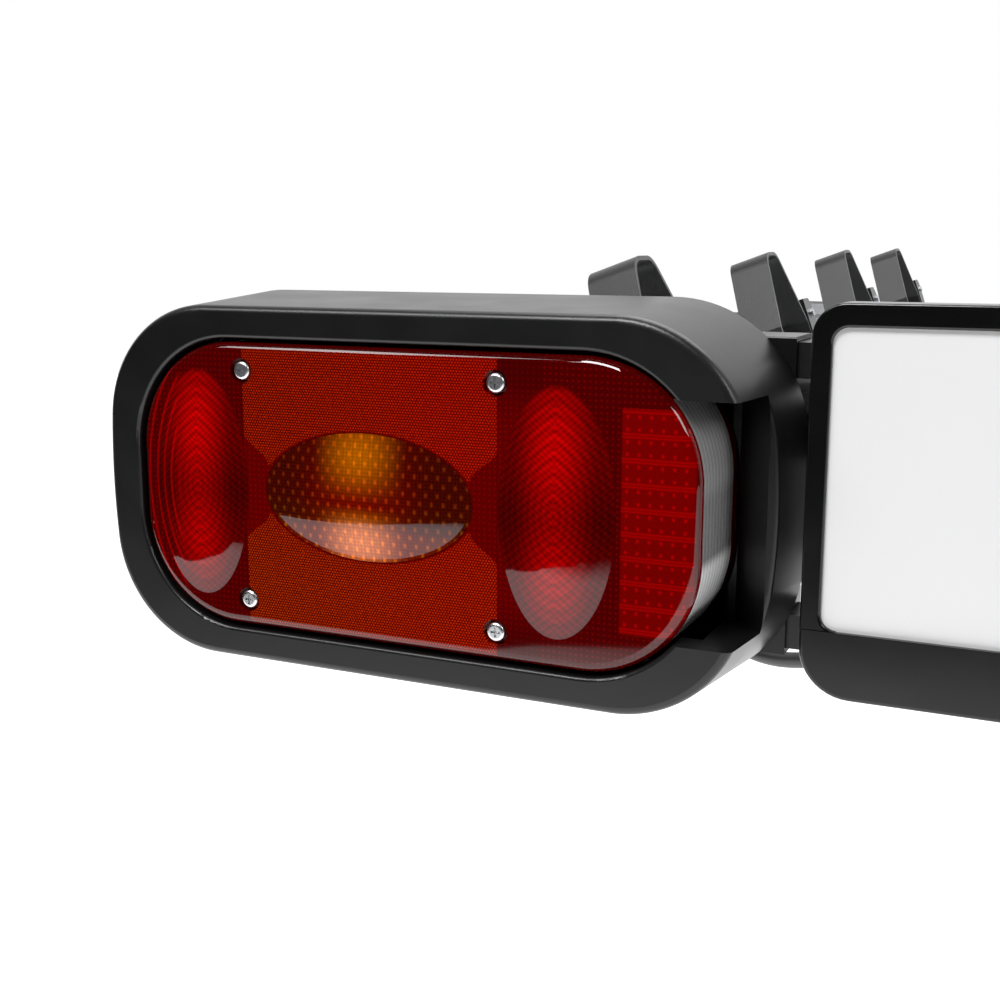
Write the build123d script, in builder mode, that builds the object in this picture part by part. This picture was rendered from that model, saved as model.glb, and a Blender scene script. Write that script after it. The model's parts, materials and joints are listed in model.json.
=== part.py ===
from build123d import *
import os
from math import cos, pi, radians, sin, tan

# Rear platform of a towbar cycle carrier: wheel trays with straps on two beams, and a light board
# with two sliding lamps and a number-plate holder behind them. Millimetres. X runs across the
# vehicle, Y forward to the vehicle and Z up; the origin is the centre of the tilt pivot.

os.makedirs("parts", exist_ok=True)

# Wheel trays
TRAY_COUNT = 4
TRAY_PITCH = 219.0
TRAY_LENGTH = 960.0
TRAY_WIDTH = 60.0
TRAY_HEIGHT = 26.0
TRAY_WALL = 2.0
END_CAP_THICKNESS = 4.0
END_CAP_RADIUS = 2.0
END_CAP_FOOT_LENGTH = 12.0
END_CAP_FOOT_HEIGHT = 6.0
PIVOT_TO_TRAY = 96.0
TRAY_TO_BAR = 45.0

# Beams, cross tube and pivot
BEAM_X = 245.0
BEAM_WIDTH = 30.0
BEAM_HEIGHT = 40.0
BEAM_WALL = 2.5
BEAM_EDGE = 1.2
PLUG_HEAD = 3.0
PLUG_LENGTH = 12.0
CROSS_DEPTH = 30.0
CROSS_CORNER = 3.0
CROSS_INNER_CORNER = 0.8
CROSS_TO_PIVOT = 32.0
LUG_X = 45.0
LUG_THICKNESS = 10.0
LUG_RADIUS = 18.0
PIVOT_RADIUS = 8.0
SADDLE_INWARD = 30.0
SADDLE_OUTWARD = 60.0
SADDLE_WALL = 3.0
SADDLE_RISE = 13.5
SADDLE_EDGE = 1.5
BOLT_RADIUS = 3.0
BOLT_HEAD_RADIUS = 6.0
BOLT_HEAD_RISE = 3.0
BOLT_HEAD_EDGE = 2.1

# Light bars
BAR_LENGTH = 1000.0
BAR_DEPTH = 20.0
BAR_HEIGHT = 13.0
BAR_WALL = 1.5
UPPER_BAR_Z = 60.2
LOWER_BAR_Z = -41.4
POST_WIDTH = 34.0
POST_EDGE = 2.0

# Lamps, measured from the lamp's centre and back from its lens face; its inner edge stands at LAMP_INNER_X
LAMP_INNER_X = 275.95
LAMP_Z = 8.5
LAMP_WIDTH = 264.8
LAMP_FACE_BOW = 7.0
LAMP_BACK_BOW = 14.0
LAMP_BULGE = 3.4
LAMP_HEIGHT = 139.4
LAMP_CORNER = 48.0
LAMP_DEPTH = 60.0
LAMP_FLARE = 4.0
RIM_WIDTH = 14.4
RIM_HEIGHT = 12.2
RIM_DEPTH = 12.0
RIM_EDGE = 3.0
RIM_CORNER_STEP = 3.2
RIM_LIP = 1.5
HOUSING_WALL = 3.5
NOTCH_LOW = -41.7
NOTCH_HIGH = 42.4
NOTCH_OUTER_DEPTH = 26.0
NOTCH_EDGE = 2.0
NOTCH_INNER_DEPTH = 42.0
NOTCH_LEDGE = 0.78
LENS_RIM_GAP = 1.8
LENS_RIM_GAP_Z = 1.4
LENS_CORNER_STEP = 5.0
LENS_WALL = 2.5
LENS_DEPTH = 45.0
LENS_EDGE = 4.0
WINDOW_DEPTH = 40.0
DOME_RISE = 2.6
DOME_RADIUS = 10.0
DOME_STEP = 0.8
SIDE_DOME_X = (-87.5, 64.4)
SIDE_DOME_RADII = (22.5, 45.5)
INDICATOR_X = -12.4
INDICATOR_RADII = (44.2, 24.2)
SCREW_X = (-66.85, 40.9)
SCREW_Z = 45.2
SCREW_RADIUS = 2.0
SCREW_HEAD_RADIUS = 3.75
SCREW_HEAD_RISE = 2.4
SCREW_HEAD_EDGE = 1.44
SCREW_HEAD_GAP = 1.0
SCREW_SLOT = 0.8
SCREW_LENGTH = 32.0
BOSS_RADIUS = 6.5
BOSS_DEPTH = 8.0
POST_RADIUS = 4.5
BASE_THICKNESS = 4.0
REFLECTOR_THICKNESS = 2.0
BULB_RADIUS = 9.0
BULB_BASE_RADIUS = 7.5
SLEEVE_WALL = 1.7
SLEEVE_GAP = 0.3
SLEEVE_FLOOR = 6.0
SLEEVE_EDGE = 0.8
SLEEVE_LENGTH = 154.0
SLEEVE_INNER_X = 276.0
WEB_THICKNESS = 3.0

# Number-plate holder, measured back from the lamps' lens face
PLATE_WIDTH = 520.0
PLATE_HEIGHT = 110.0
PLATE_THICKNESS = 1.0
PLATE_Z = 22.45
PLATE_SETBACK = 30.0
PLATE_OVERLAP = 3.0
HOLDER_LIP = 2.0
HOLDER_DEPTH = 11.0
HOLDER_SIDE = 7.0
HOLDER_TOP = 8.2
HOLDER_BOTTOM = 24.4
HOLDER_TOP_RADIUS = 11.5
HOLDER_BOTTOM_RADIUS = 18.0
HOLDER_WALL = 2.5
HOLDER_EDGE = 1.0
PLATE_BAR_EDGE = 1.5
WINDOW_RADIUS = 5.5
HINGE_X = 200.0
HINGE_EAR_WIDTH = 10.0
HINGE_EAR_RADIUS = 4.0
HINGE_PIN_RADIUS = 1.5
HINGE_PIN_LENGTH = 26.0
HINGE_UP = 5.0
HINGE_IN = 3.5
BRACKET_X = 150.0
BRACKET_WIDTH = 20.0

# Wheel straps and their ratchets
STRAP_X = 351.5
STRAP_LEAN = 20.0
STRAP_WIDTH = 22.0
STRAP_THICKNESS = 2.0
STRAP_RISE = 46.5
STRAP_GAP = 1.5
STRAP_UNDER = 33.5
STRAP_PEAK = (-16.0, 8.0)
STRAP_SHOULDER = 4.0
STRAP_TOP_RADIUS = 11.0
STRAP_FOOT_RADIUS = 5.0
RATCHET_LOW = -21.0
RATCHET_HIGH = 17.0
RATCHET_DEPTH = 17.0
RATCHET_CHEEK = 2.0
RATCHET_CHAMFER = 4.0
RATCHET_FOOT = 10.2
RATCHET_PIN = (9.5, 8.0)
RATCHET_PIN_RADIUS = 2.5
LEVER_WIDTH = 19.0
LEVER_THICKNESS = 3.0
LEVER_HUB_RADIUS = 5.0

# Cable. The gland is placed from the lamp's centre, and the socket from the lens face and lower bar.
# Each bend is its share of the way from gland to socket, its depth and its height from the lower bar.
CABLE_RADIUS = 3.25
GLAND_RADIUS = 4.8
GLAND_LENGTH = 12.0
GLAND_RUN = 19.5
GLAND_X = 36.35
GLAND_Z = -63.5
SOCKET_LENGTH = 10.0
SOCKET_RUN = 25.0
SOCKET_DEPTH = 52.0
SOCKET_DROP = 8.1
CABLE_BENDS = (
    (0.053, 114.0, -17.7),
    (0.159, 126.2, -22.5),
    (0.288, 123.9, -26.1),
    (0.402, 104.7, -25.7),
    (0.530, 83.0, -15.6),
    (0.639, 68.0, -12.6),
    (0.752, 57.0, -10.1),
)

CLEARANCE = 0.3
RUNNING_FIT = 0.05
SMALL_GAP = 0.1

# Places worked out from the sizes above
BEAM_TOP = BEAM_HEIGHT / 2
TRAY_BOTTOM = BEAM_TOP + SADDLE_WALL
TRAY_TOP = TRAY_BOTTOM + TRAY_HEIGHT
TRAY_YS = [-(PIVOT_TO_TRAY + TRAY_PITCH * i) for i in reversed(range(TRAY_COUNT))]
BEAM_BACK_Y = TRAY_YS[0] - TRAY_TO_BAR
BAR_BACK_Y = BEAM_BACK_Y - BAR_DEPTH
BAR_Y = BAR_BACK_Y + BAR_DEPTH / 2
FACE_Y = BAR_BACK_Y - SLEEVE_GAP - SLEEVE_WALL - LAMP_DEPTH
LAMP_X = LAMP_INNER_X + LAMP_WIDTH / 2
BEAM_LENGTH = -CROSS_TO_PIVOT - BEAM_BACK_Y
CROSS_Y = -CROSS_TO_PIVOT - CROSS_DEPTH / 2
LENS_WIDTH = LAMP_WIDTH - 2 * (RIM_WIDTH + LENS_RIM_GAP)
LENS_HEIGHT = LAMP_HEIGHT - 2 * (RIM_HEIGHT + LENS_RIM_GAP_Z)
LENS_CORNER = LAMP_CORNER - LENS_CORNER_STEP
SCREW_POINTS = [(x, z) for x in SCREW_X for z in (-SCREW_Z, SCREW_Z)]
BASE_DEPTH = LAMP_DEPTH - BASE_THICKNESS
REFLECTOR_DEPTH = LENS_DEPTH - REFLECTOR_THICKNESS
BULB_XS = (SIDE_DOME_X[0], INDICATOR_X, SIDE_DOME_X[1])
HOLDER_Y = FACE_Y + PLATE_SETBACK - HOLDER_LIP
HOLDER_FRONT_Y = HOLDER_Y + HOLDER_DEPTH
HOLDER_WIDTH = PLATE_WIDTH - 2 * PLATE_OVERLAP + 2 * HOLDER_SIDE
WINDOW_LOW_Z = PLATE_Z - PLATE_HEIGHT / 2 + PLATE_OVERLAP
WINDOW_HIGH_Z = PLATE_Z + PLATE_HEIGHT / 2 - PLATE_OVERLAP
HOLDER_TOP_Z = WINDOW_HIGH_Z + HOLDER_TOP
HOLDER_BOTTOM_Z = WINDOW_LOW_Z - HOLDER_BOTTOM
HINGE_Y = HOLDER_FRONT_Y - HINGE_IN
HINGE_Z = HOLDER_BOTTOM_Z + HINGE_UP
STRAP_OUTER = TRAY_WIDTH / 2 + STRAP_GAP + STRAP_THICKNESS
BOLT_POINTS = [(side * BEAM_X, y) for side in (-1, 1) for y in TRAY_YS]


def save(piece, name):
    piece.label = name
    export_step(piece, f"parts/{name}.step")


def save_pair(piece, name):
    """Writes the left piece, and its mirror image on the right."""
    save(piece, f"{name}_left")
    save(mirror(piece, about=Plane.YZ), f"{name}_right")


def save_joined(piece, name):
    """Writes the left pieces and their mirror images as one node."""
    save(Compound([*piece.solids(), *mirror(piece, about=Plane.YZ).solids()]), name)


def box_between(low, high):
    """A box from its lowest corner to its highest, joined to the part being built."""
    size = [b - a for a, b in zip(low, high)]
    with Locations([(low[0] + size[0] / 2, low[1] + size[1] / 2, low[2] + size[2] / 2)]):
        Box(*size)


# Side beams: rectangular tubes, drilled through their top wall for the saddle bolts
with BuildPart() as side_beam:
    with BuildSketch(Plane(origin=(-BEAM_X, BEAM_BACK_Y, 0), x_dir=(1, 0, 0), z_dir=(0, -1, 0))):
        Rectangle(BEAM_WIDTH, BEAM_HEIGHT)
        Rectangle(BEAM_WIDTH - 2 * BEAM_WALL, BEAM_HEIGHT - 2 * BEAM_WALL, mode=Mode.SUBTRACT)
    extrude(amount=-BEAM_LENGTH)
    fillet(side_beam.edges().filter_by(Axis.Y).group_by(SortBy.LENGTH)[-1], BEAM_EDGE)
    with Locations([(-BEAM_X, y, BEAM_TOP) for y in TRAY_YS]):
        Hole(BOLT_RADIUS + SMALL_GAP, depth=2 * BEAM_WALL)
save_pair(side_beam.part, "side_beam")

# Plugs in the front ends of the side beams
with BuildPart() as beam_plug:
    with BuildSketch(Plane(origin=(-BEAM_X, -CROSS_TO_PIVOT, 0), x_dir=(1, 0, 0), z_dir=(0, 1, 0))):
        RectangleRounded(BEAM_WIDTH, BEAM_HEIGHT, BEAM_EDGE)
    extrude(amount=PLUG_HEAD)
    with BuildSketch(Plane(origin=(-BEAM_X, -CROSS_TO_PIVOT, 0), x_dir=(1, 0, 0), z_dir=(0, 1, 0))):
        RectangleRounded(BEAM_WIDTH - 2 * BEAM_WALL - SMALL_GAP, BEAM_HEIGHT - 2 * BEAM_WALL - SMALL_GAP,
                         2 * BEAM_EDGE)
    extrude(amount=-PLUG_LENGTH)
save_joined(beam_plug.part, "beam_plugs")

# Front cross tube between the beams
with BuildPart() as front_cross_tube:
    with BuildSketch(Plane(origin=(0, CROSS_Y, 0), x_dir=(0, 1, 0), z_dir=(1, 0, 0))):
        RectangleRounded(CROSS_DEPTH, BEAM_HEIGHT, CROSS_CORNER)
        RectangleRounded(CROSS_DEPTH - 2 * BEAM_WALL, BEAM_HEIGHT - 2 * BEAM_WALL, CROSS_INNER_CORNER,
                         mode=Mode.SUBTRACT)
    extrude(amount=BEAM_X - BEAM_WIDTH / 2, both=True)
save(front_cross_tube.part, "front_cross_tube")

# Pivot lugs: two plates with round noses about the tilt pivot
with BuildPart() as pivot_lugs:
    for side in (-1, 1):
        with BuildSketch(Plane(origin=(side * LUG_X - LUG_THICKNESS / 2, 0, 0), x_dir=(0, 1, 0),
                               z_dir=(1, 0, 0))):
            Circle(LUG_RADIUS)
            with Locations((-CROSS_TO_PIVOT / 2, 0)):
                Rectangle(CROSS_TO_PIVOT, 2 * LUG_RADIUS)
            Circle(PIVOT_RADIUS, mode=Mode.SUBTRACT)
        extrude(amount=LUG_THICKNESS)
save(pivot_lugs.part, "pivot_lugs")

# Saddles: shallow cradles that hold each wheel tray on the beams
with BuildPart() as tray_saddles:
    for y in TRAY_YS:
        with BuildSketch(Plane(origin=(-BEAM_X - SADDLE_OUTWARD, y, 0), x_dir=(0, 1, 0), z_dir=(1, 0, 0))):
            with Locations((0, BEAM_TOP + (SADDLE_WALL + SADDLE_RISE) / 2)):
                Rectangle(TRAY_WIDTH + 2 * SADDLE_WALL, SADDLE_WALL + SADDLE_RISE)
            with Locations((0, TRAY_BOTTOM + SADDLE_RISE / 2)):
                Rectangle(TRAY_WIDTH, SADDLE_RISE, mode=Mode.SUBTRACT)
        extrude(amount=SADDLE_INWARD + SADDLE_OUTWARD)
    fillet(tray_saddles.edges().filter_by(Axis.X).group_by(Axis.Z)[0], SADDLE_EDGE)
    with Locations([(-BEAM_X, y, TRAY_BOTTOM) for y in TRAY_YS]):
        Hole(BOLT_RADIUS + SMALL_GAP, depth=2 * SADDLE_WALL)
save_joined(tray_saddles.part, "tray_saddles")

# Wheel trays: open channels with a folded lip, one node each
for index, y in enumerate(TRAY_YS, start=1):
    with BuildPart() as wheel_tray:
        with BuildSketch(Plane(origin=(-TRAY_LENGTH / 2, y, 0), x_dir=(0, 1, 0), z_dir=(1, 0, 0))):
            with Locations((0, TRAY_BOTTOM + TRAY_HEIGHT / 2)):
                Rectangle(TRAY_WIDTH, TRAY_HEIGHT)
            with Locations((0, TRAY_BOTTOM + TRAY_WALL + TRAY_HEIGHT / 2)):
                Rectangle(TRAY_WIDTH - 2 * TRAY_WALL, TRAY_HEIGHT, mode=Mode.SUBTRACT)
        extrude(amount=TRAY_LENGTH)
        with Locations([(side * BEAM_X, y, TRAY_BOTTOM + TRAY_WALL) for side in (-1, 1)]):
            Hole(BOLT_RADIUS + SMALL_GAP, depth=2 * TRAY_WALL)
    save(wheel_tray.part, f"wheel_tray_{index}")

# End caps: plates that close the trays' ends, with a foot inside each channel
with BuildPart() as tray_end_caps:
    for y in TRAY_YS:
        with BuildSketch(Plane(origin=(-TRAY_LENGTH / 2, y, 0), x_dir=(0, 1, 0), z_dir=(1, 0, 0))):
            with Locations((0, TRAY_BOTTOM + TRAY_HEIGHT / 2)):
                RectangleRounded(TRAY_WIDTH, TRAY_HEIGHT, END_CAP_RADIUS)
        extrude(amount=-END_CAP_THICKNESS)
        with BuildSketch(Plane(origin=(-TRAY_LENGTH / 2, y, 0), x_dir=(0, 1, 0), z_dir=(1, 0, 0))):
            with Locations((0, TRAY_BOTTOM + TRAY_WALL + SMALL_GAP + END_CAP_FOOT_HEIGHT / 2)):
                Rectangle(TRAY_WIDTH - 2 * TRAY_WALL - 2 * SMALL_GAP, END_CAP_FOOT_HEIGHT)
        extrude(amount=END_CAP_FOOT_LENGTH)
save_joined(tray_end_caps.part, "tray_end_caps")

# Saddle bolts: mushroom heads on the tray floors, shanks through tray, saddle and beam wall
with BuildPart() as saddle_bolts:
    with Locations([(x, y, TRAY_BOTTOM + TRAY_WALL) for x, y in BOLT_POINTS]):
        Cylinder(BOLT_HEAD_RADIUS, BOLT_HEAD_RISE, align=(Align.CENTER, Align.CENTER, Align.MIN))
    fillet(saddle_bolts.faces().sort_by(Axis.Z)[-len(BOLT_POINTS):].edges(), BOLT_HEAD_EDGE)
    with Locations([(x, y, TRAY_BOTTOM + TRAY_WALL) for x, y in BOLT_POINTS]):
        Cylinder(BOLT_RADIUS, TRAY_WALL + SADDLE_WALL + 2 * BEAM_WALL,
                 align=(Align.CENTER, Align.CENTER, Align.MAX))
save(saddle_bolts.part, "saddle_bolts")

# Light bars: upper and lower tubes across the back, joined by two posts
for name, z in (("upper", UPPER_BAR_Z), ("lower", LOWER_BAR_Z)):
    with BuildPart() as light_bar:
        with BuildSketch(Plane(origin=(0, BAR_Y, z), x_dir=(0, 1, 0), z_dir=(1, 0, 0))):
            Rectangle(BAR_DEPTH, BAR_HEIGHT)
            Rectangle(BAR_DEPTH - 2 * BAR_WALL, BAR_HEIGHT - 2 * BAR_WALL, mode=Mode.SUBTRACT)
        extrude(amount=BAR_LENGTH / 2, both=True)
    save(light_bar.part, f"light_bar_{name}")

with BuildPart() as light_bar_posts:
    post_low = LOWER_BAR_Z + BAR_HEIGHT / 2
    post_high = UPPER_BAR_Z - BAR_HEIGHT / 2
    for side in (-1, 1):
        box_between((side * BEAM_X - POST_WIDTH / 2, BAR_BACK_Y, post_low),
                    (side * BEAM_X + POST_WIDTH / 2, BEAM_BACK_Y, post_high))
    fillet(light_bar_posts.edges().filter_by(Axis.Z), POST_EDGE)
save(light_bar_posts.part, "light_bar_posts")

with BuildPart() as light_bar_plugs:
    for side in (-1, 1):
        for z in (LOWER_BAR_Z, UPPER_BAR_Z):
            with Locations((side * BAR_LENGTH / 2, BAR_Y, z)):
                Box(PLUG_HEAD, BAR_DEPTH, BAR_HEIGHT,
                    align=(Align.MIN if side > 0 else Align.MAX, Align.CENTER, Align.CENTER))
                Box(PLUG_LENGTH, BAR_DEPTH - 2 * BAR_WALL - SMALL_GAP, BAR_HEIGHT - 2 * BAR_WALL - SMALL_GAP,
                    align=(Align.MAX if side > 0 else Align.MIN, Align.CENTER, Align.CENTER))
save(light_bar_plugs.part, "light_bar_plugs")


def back_plane(depth, x=-LAMP_X, z=LAMP_Z):
    """A plane facing backwards at a depth behind the lens face: X across, Y up."""
    return Plane(origin=(x, FACE_Y + depth, z), x_dir=(1, 0, 0), z_dir=(0, -1, 0))


def bowed_face(width, height, corner, bow):
    """A rounded rectangle with bowed short sides; its width is taken at mid-height."""
    end = width / 2 - bow
    with BuildSketch() as face:
        with BuildLine():
            ThreePointArc((end, -height / 2), (width / 2, 0), (end, height / 2))
            Line((end, height / 2), (-end, height / 2))
            ThreePointArc((-end, height / 2), (-width / 2, 0), (-end, -height / 2))
            Line((-end, -height / 2), (end, -height / 2))
        make_face()
        fillet(face.vertices(), corner)
    return face.sketch


# Lamp housing: a flared body with a wide rounded rim and a notch for the side window
with BuildPart() as lamp_housing:
    with BuildSketch(back_plane(0)):
        add(bowed_face(LAMP_WIDTH + RIM_LIP, LAMP_HEIGHT, LAMP_CORNER, LAMP_FACE_BOW))
    with BuildSketch(back_plane(LAMP_DEPTH)):
        add(bowed_face(LAMP_WIDTH + 2 * LAMP_FLARE + 2 * LAMP_BULGE, LAMP_HEIGHT + 2 * LAMP_FLARE,
                       LAMP_CORNER + LAMP_FLARE, LAMP_BACK_BOW))
    loft()
    fillet(lamp_housing.faces().sort_by(Axis.Y)[0].edges(), RIM_EDGE)
    with BuildSketch(back_plane(0)):
        RectangleRounded(LAMP_WIDTH - 2 * RIM_WIDTH, LAMP_HEIGHT - 2 * RIM_HEIGHT,
                         LAMP_CORNER - RIM_CORNER_STEP)
    extrude(amount=-LAMP_DEPTH, mode=Mode.SUBTRACT)
    with BuildSketch(back_plane(RIM_DEPTH)):
        RectangleRounded(LAMP_WIDTH - 2 * HOUSING_WALL, LAMP_HEIGHT - 2 * HOUSING_WALL,
                         LAMP_CORNER - HOUSING_WALL)
        with Locations((LAMP_WIDTH / 2, 0)):
            Rectangle(2 * RIM_WIDTH + 2 * RIM_EDGE, LAMP_HEIGHT * NOTCH_LEDGE, mode=Mode.SUBTRACT)
    extrude(amount=-LAMP_DEPTH, mode=Mode.SUBTRACT)
    with BuildSketch(back_plane(NOTCH_INNER_DEPTH + RIM_EDGE)):
        RectangleRounded(LAMP_WIDTH - 2 * HOUSING_WALL, LAMP_HEIGHT - 2 * HOUSING_WALL,
                         LAMP_CORNER - HOUSING_WALL)
    extrude(amount=-LAMP_DEPTH, mode=Mode.SUBTRACT)
    fillet(lamp_housing.faces().sort_by(Axis.Y)[0].inner_wires().edges(), RIM_LIP)

with BuildPart() as housing_notch:
    notch_inner = LENS_WIDTH / 2 - RIM_WIDTH
    notch_outer = LAMP_WIDTH / 2 + 2 * LAMP_FLARE
    with BuildSketch(Plane.XY.offset(LAMP_Z + NOTCH_LOW)):
        with BuildLine():
            Polyline(
                (-LAMP_X + notch_inner, FACE_Y - 1),
                (-LAMP_X + notch_outer, FACE_Y - 1),
                (-LAMP_X + notch_outer, FACE_Y + NOTCH_OUTER_DEPTH),
                (-LAMP_X + LAMP_WIDTH / 2, FACE_Y + NOTCH_OUTER_DEPTH),
                (-LAMP_X + LENS_WIDTH / 2 + LENS_RIM_GAP, FACE_Y + NOTCH_INNER_DEPTH),
                (-LAMP_X + notch_inner, FACE_Y + NOTCH_INNER_DEPTH),
                close=True,
            )
        make_face()
    extrude(amount=NOTCH_HIGH - NOTCH_LOW)
housing = lamp_housing.part - housing_notch.part
notch_ridge = [edge for edge in housing.edges()
               if edge.center().X > -LAMP_X + LAMP_WIDTH / 2 and abs(edge.center().Z - LAMP_Z) < RIM_EDGE
               and edge.center().Y < FACE_Y + NOTCH_INNER_DEPTH and edge.length > NOTCH_HIGH]
housing = housing.fillet(NOTCH_EDGE, notch_ridge)
save_pair(housing, "lamp_housing")


def lens_shell():
    """The whole lens as an open-backed shell, before its window and holes are cut."""
    with BuildPart() as shell:
        with BuildSketch(back_plane(0)):
            RectangleRounded(LENS_WIDTH, LENS_HEIGHT, LENS_CORNER)
        extrude(amount=-LENS_DEPTH)
        fillet(shell.faces().sort_by(Axis.Y)[0].edges(), LENS_EDGE)
        with BuildSketch(back_plane(LENS_WALL)):
            RectangleRounded(LENS_WIDTH - 2 * LENS_WALL, LENS_HEIGHT - 2 * LENS_WALL,
                             LENS_CORNER - LENS_WALL)
        extrude(amount=-(LENS_DEPTH - LENS_WALL), mode=Mode.SUBTRACT)
    return shell.part


def window_block(gap):
    """The block of space that the clear side window takes out of the lens, less a gap."""
    low = (-LAMP_X + LENS_WIDTH / 4, FACE_Y + LENS_EDGE + gap, LAMP_Z + NOTCH_LOW + gap)
    high = (-LAMP_X + LENS_WIDTH, FACE_Y + WINDOW_DEPTH - gap, LAMP_Z + NOTCH_HIGH - gap)
    with BuildPart() as block:
        box_between(low, high)
    return block.part


def dome(x, radii):
    """A shallow cap of an ellipsoid standing out of the lens face, with these radii where it meets it."""
    sunk = DOME_RADIUS - DOME_RISE
    spread = DOME_RADIUS / (DOME_RADIUS ** 2 - sunk ** 2) ** 0.5
    ball = scale(Sphere(DOME_RADIUS), by=(spread * radii[0] / DOME_RADIUS, 1,
                                          spread * radii[1] / DOME_RADIUS))
    ball = Pos(-LAMP_X + x, FACE_Y + SMALL_GAP + sunk, LAMP_Z) * ball
    return split(ball, bisect_by=Plane(origin=(0, FACE_Y + SMALL_GAP, 0), z_dir=(0, -1, 0)))


# Red lens with a convex dome over each outer bulb and a bored boss at each screw
side_domes = [dome(x, SIDE_DOME_RADII) for x in SIDE_DOME_X]
lens_blank = lens_shell() - window_block(0)
with BuildPart() as lamp_lens:
    add(lens_blank)
    add(side_domes)
    with BuildSketch(back_plane(LENS_WALL)):
        with Locations(SCREW_POINTS):
            Circle(BOSS_RADIUS)
    extrude(amount=-BOSS_DEPTH)
    with BuildSketch(back_plane(0)):
        with Locations(SCREW_POINTS):
            Circle(SCREW_HEAD_RADIUS + SCREW_HEAD_GAP)
    extrude(amount=-SCREW_HEAD_RISE, mode=Mode.SUBTRACT)
    with BuildSketch(back_plane(0)):
        with Locations(SCREW_POINTS):
            Circle(SCREW_RADIUS + SMALL_GAP)
        with Locations((INDICATOR_X, 0)):
            Ellipse(INDICATOR_RADII[0] + SMALL_GAP, INDICATOR_RADII[1] + SMALL_GAP)
    extrude(amount=-(LENS_WALL + BOSS_DEPTH), mode=Mode.SUBTRACT)
save_pair(lamp_lens.part, "lamp_lens")

# Clear side window, the piece of the lens wall that the notch bares
side_window = lens_shell() & window_block(SMALL_GAP)
save_pair(side_window, "side_window")

# Amber indicator lens in the middle of the red one
indicator_dome = dome(INDICATOR_X, [radius - DOME_STEP for radius in INDICATOR_RADII])
with BuildPart() as indicator_lens:
    with BuildSketch(back_plane(0)):
        with Locations((INDICATOR_X, 0)):
            Ellipse(*INDICATOR_RADII)
    extrude(amount=-LENS_WALL)
    add(indicator_dome)
save_pair(indicator_lens.part, "indicator_lens")

# Lens screws: pan heads sunk in the bosses, with a cross recess
with BuildPart() as lens_screws:
    with BuildSketch(back_plane(0)):
        with Locations(SCREW_POINTS):
            Circle(SCREW_HEAD_RADIUS)
    extrude(amount=-SCREW_HEAD_RISE)
    fillet(lens_screws.faces().group_by(Axis.Y)[0].edges(), SCREW_HEAD_EDGE)
    with BuildSketch(back_plane(0)):
        with Locations(SCREW_POINTS):
            Rectangle(SCREW_HEAD_RADIUS, SCREW_SLOT)
            Rectangle(SCREW_SLOT, SCREW_HEAD_RADIUS)
    extrude(amount=-SCREW_HEAD_RISE / 2, mode=Mode.SUBTRACT)
    with BuildSketch(back_plane(SCREW_HEAD_RISE)):
        with Locations(SCREW_POINTS):
            Circle(SCREW_RADIUS)
    extrude(amount=-SCREW_LENGTH)
save_pair(lens_screws.part, "lens_screws")

# Base: the housing's back cover, with a collar under the lens rim and a post for each screw
with BuildPart() as lamp_base:
    with BuildSketch(back_plane(BASE_DEPTH)):
        RectangleRounded(LAMP_WIDTH - 2 * HOUSING_WALL - 2 * CLEARANCE,
                         LAMP_HEIGHT - 2 * HOUSING_WALL - 2 * CLEARANCE,
                         LAMP_CORNER - HOUSING_WALL - CLEARANCE)
    extrude(amount=-BASE_THICKNESS)
    with BuildSketch(back_plane(LENS_DEPTH)):
        RectangleRounded(LENS_WIDTH, LENS_HEIGHT, LENS_CORNER)
        RectangleRounded(LENS_WIDTH - 4 * LENS_WALL, LENS_HEIGHT - 4 * LENS_WALL,
                         LENS_CORNER - 2 * LENS_WALL, mode=Mode.SUBTRACT)
    extrude(amount=-(BASE_DEPTH - LENS_DEPTH))
    with BuildSketch(back_plane(LENS_WALL + BOSS_DEPTH)):
        with Locations(SCREW_POINTS):
            Circle(POST_RADIUS)
            Circle(SCREW_RADIUS + SMALL_GAP, mode=Mode.SUBTRACT)
    extrude(amount=-(BASE_DEPTH - LENS_WALL - BOSS_DEPTH))
save_pair(lamp_base.part, "lamp_base")

# Reflector plate behind the lens, holed for the bulbs and the screw posts
with BuildPart() as reflector:
    with BuildSketch(back_plane(REFLECTOR_DEPTH)):
        RectangleRounded(LENS_WIDTH - 4 * LENS_WALL - 2 * CLEARANCE,
                         LENS_HEIGHT - 4 * LENS_WALL - 2 * CLEARANCE,
                         LENS_CORNER - 2 * LENS_WALL - CLEARANCE)
        with Locations([(x, 0) for x in BULB_XS]):
            Circle(BULB_BASE_RADIUS + CLEARANCE, mode=Mode.SUBTRACT)
        with Locations(SCREW_POINTS):
            Circle(POST_RADIUS + CLEARANCE, mode=Mode.SUBTRACT)
    extrude(amount=-REFLECTOR_THICKNESS)
save_pair(reflector.part, "lamp_reflector")

# Bulbs standing on the base through the reflector
with BuildPart() as bulbs:
    for x in BULB_XS:
        with BuildSketch(back_plane(REFLECTOR_DEPTH - BULB_RADIUS, x=-LAMP_X + x)):
            Circle(BULB_BASE_RADIUS)
        extrude(amount=-(BASE_DEPTH - REFLECTOR_DEPTH + BULB_RADIUS))
        with Locations((-LAMP_X + x, FACE_Y + REFLECTOR_DEPTH - BULB_RADIUS, LAMP_Z)):
            Sphere(BULB_RADIUS)
save_pair(bulbs.part, "lamp_bulbs")

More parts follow.
